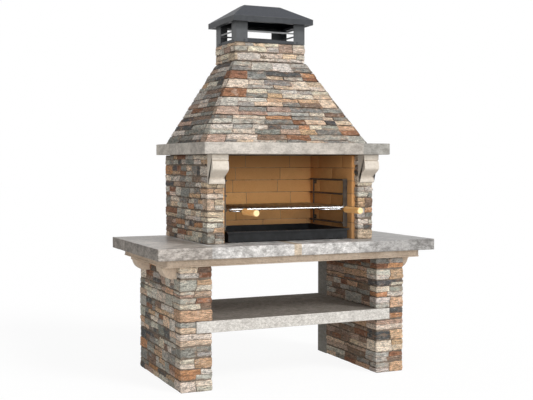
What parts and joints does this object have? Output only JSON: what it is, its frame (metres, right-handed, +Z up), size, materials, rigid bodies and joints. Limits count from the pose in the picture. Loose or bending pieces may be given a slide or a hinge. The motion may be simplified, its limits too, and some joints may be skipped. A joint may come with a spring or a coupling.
{
  "type": "outdoor masonry barbecue",
  "caption": "Free-standing masonry barbecue with stone-clad legs, cast worktop, firebrick firebox, tapered hood and chimney cap; tray and grill pull out to the front.",
  "frame": {"origin": "on the ground at the centre of the outline", "axes": "+X to the right seen from the front, +Y to the wall behind, +Z up"},
  "size_m": [1.5, 0.845, 1.924],
  "materials": {
    "concrete": "rough cast",
    "ledger_stone": "split face, mixed grey, cream, tan and rust",
    "cast_stone": "fine cast, mottled",
    "moulded_stone": "fine cast",
    "pale_stone": "fine cast, pale",
    "firebrick": "fired, matt",
    "cap_steel": "satin anthracite",
    "screw_steel": "satin",
    "rack_steel": "heat-resistant, matt",
    "tray_steel": "satin black",
    "grill_wire": "bright",
    "handle_wood": "varnished",
    "handle_collar": "satin"
  },
  "bodies": {
    "masonry": {"leg_left_core": "concrete", "leg_right_core": "concrete", "leg_left_front_stones": "ledger_stone", "leg_left_outer_stones": "ledger_stone", "leg_left_inner_stones": "ledger_stone", "leg_right_front_stones": "ledger_stone", "leg_right_outer_stones": "ledger_stone", "leg_right_inner_stones": "ledger_stone", "shelf_slab": "cast_stone", "worktop_moulding": "moulded_stone", "worktop_slab": "cast_stone", "worktop_corbel_left_front": "moulded_stone", "worktop_corbel_left_rear": "moulded_stone", "worktop_corbel_right_front": "moulded_stone", "worktop_corbel_right_rear": "moulded_stone", "wall_left_core": "concrete", "wall_right_core": "concrete", "back_panel": "concrete", "wall_left_front_stones": "ledger_stone", "wall_left_outer_stones": "ledger_stone", "wall_right_front_stones": "ledger_stone", "wall_right_outer_stones": "ledger_stone", "lining_back_bricks": "firebrick", "lining_left_bricks": "firebrick", "lining_right_bricks": "firebrick", "mantel_corbel_left": "pale_stone", "mantel_corbel_right": "pale_stone", "mantel_slab": "cast_stone", "hood_shell": "concrete", "hood_front_stones": "ledger_stone", "hood_left_stones": "ledger_stone", "hood_right_stones": "ledger_stone", "neck_core": "concrete", "neck_stones": "ledger_stone", "cap_base_frame": "cap_steel", "cap_post_front_left": "cap_steel", "cap_post_front_right": "cap_steel", "cap_post_rear_left": "cap_steel", "cap_post_rear_right": "cap_steel", "cap_bars": "cap_steel", "cap_soffit": "cap_steel", "cap_roof": "cap_steel", "cap_screws": "screw_steel", "rack_left": "rack_steel", "rack_right": "rack_steel", "rack_screws": "screw_steel"},
    "tray": {"charcoal_tray": "tray_steel"},
    "grill": {"grill_frame": "grill_wire", "grill_cross_rods": "grill_wire", "grill_wires": "grill_wire", "fork_left": "grill_wire", "fork_right": "grill_wire", "handle_left": "handle_wood", "handle_right": "handle_wood", "handle_ferrules": "handle_collar"}
  },
  "joints": [
    {"name": "grill_slide", "type": "slide", "parent": "masonry", "child": "grill", "axis": [0, -1, 0], "range_m": [0, 0.2]},
    {"name": "tray_slide", "type": "slide", "parent": "masonry", "child": "tray", "axis": [0, -1, 0], "range_m": [0, 0.3]}
  ]
}
